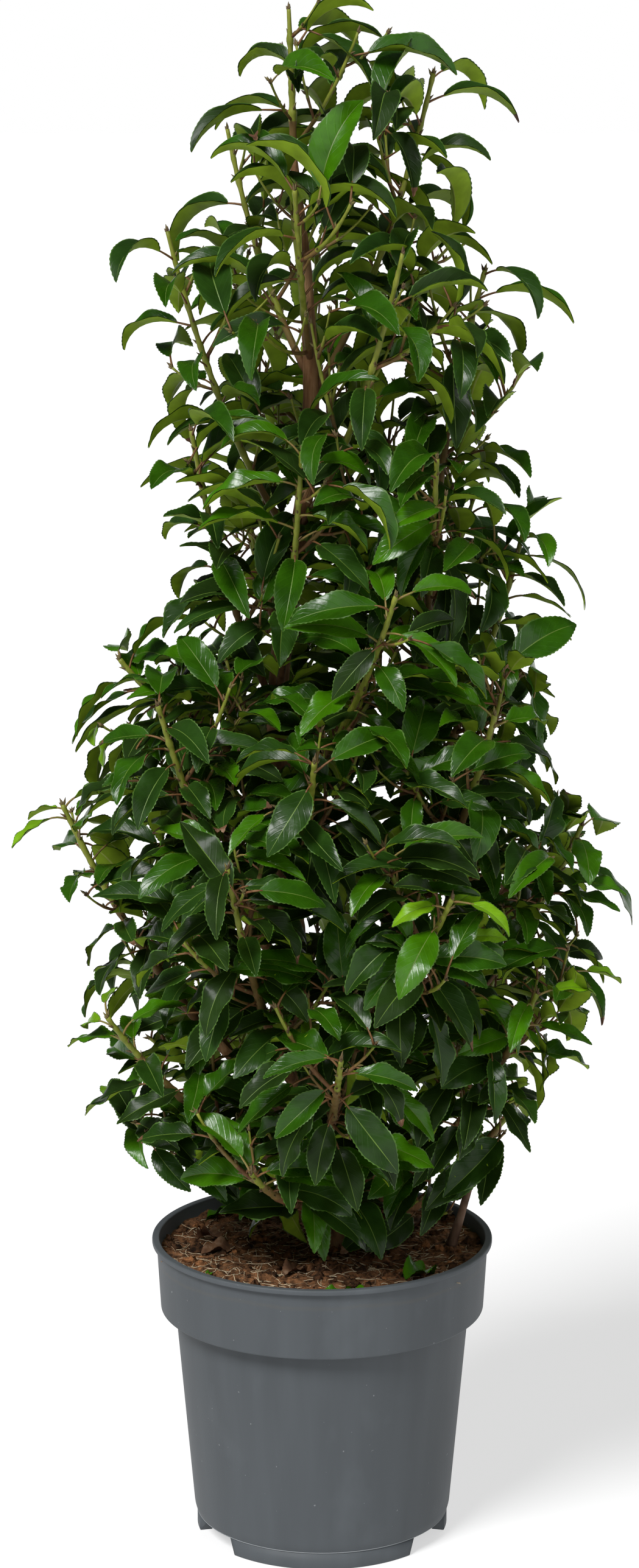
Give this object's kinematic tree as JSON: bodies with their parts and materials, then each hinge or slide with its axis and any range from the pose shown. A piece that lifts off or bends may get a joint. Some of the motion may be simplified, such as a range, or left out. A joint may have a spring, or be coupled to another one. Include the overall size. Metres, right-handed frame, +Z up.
{
  "type": "potted portuguese laurel",
  "caption": "Young evergreen laurel grown as a dense leafy cone on a leader and a second stem, standing in a round collared plastic nursery pot filled with peat soil.",
  "frame": {"origin": "on the pot's axis, at the level ground under its feet, which is the middle of the bottom of the bounding box", "axes": "+Z up along the pot's axis, +X to the right as the plant is seen from its front, +Y towards its back"},
  "size_m": [0.4575, 0.4404, 1.1491],
  "materials": {
    "pot": "satin grey moulded plastic",
    "soil": "damp crumbly peat with fibres",
    "bark": "matte brown bark",
    "dead_wood": "dry grey-brown wood",
    "leaves": "glossy dark green above, paler and matte below"
  },
  "bodies": {
    "root": {"bough_broad_back": "bark", "bough_broad_front": "bark", "bough_broad_front_right": "bark", "bough_broad_left": "bark", "bough_broad_right": "bark", "bough_low_back_left": "bark", "bough_low_back_right": "bark", "bough_low_front": "bark", "bough_low_front_left": "bark", "bough_low_front_right": "bark", "bough_skirt_back": "bark", "bough_skirt_front": "bark", "bough_skirt_left": "bark", "bough_skirt_right": "bark", "bough_wide_back_left": "bark", "bough_wide_back_right": "bark", "bough_wide_front": "bark", "bough_wide_front_left": "bark", "bough_wide_front_right": "bark", "foliage_broad_back": "leaves", "foliage_broad_front": "leaves", "foliage_broad_front_right": "leaves", "foliage_broad_left": "leaves", "foliage_broad_right": "leaves", "foliage_leader": "leaves", "foliage_low_back_left": "leaves", "foliage_low_back_right": "leaves", "foliage_low_front": "leaves", "foliage_low_front_left": "leaves", "foliage_low_front_right": "leaves", "foliage_middle_back": "leaves", "foliage_middle_front": "leaves", "foliage_middle_left": "leaves", "foliage_middle_right": "leaves", "foliage_right_leader": "leaves", "foliage_shoulder_back": "leaves", "foliage_shoulder_front_right": "leaves", "foliage_shoulder_left": "leaves", "foliage_skirt_back": "leaves", "foliage_skirt_front": "leaves", "foliage_skirt_left": "leaves", "foliage_skirt_right": "leaves", "foliage_top_back_left": "leaves", "foliage_top_front": "leaves", "foliage_top_right": "leaves", "foliage_upper_back_left": "leaves", "foliage_upper_back_right": "leaves", "foliage_upper_front": "leaves", "foliage_upper_front_left": "leaves", "foliage_upper_front_right": "leaves", "foliage_wide_back_left": "leaves", "foliage_wide_back_right": "leaves", "foliage_wide_front": "leaves", "foliage_wide_front_left": "leaves", "foliage_wide_front_right": "leaves", "pot": "pot", "pruned_stub": "dead_wood", "right_stem": "bark", "soil": "soil", "trunk": "bark"}
  },
  "joints": []
}
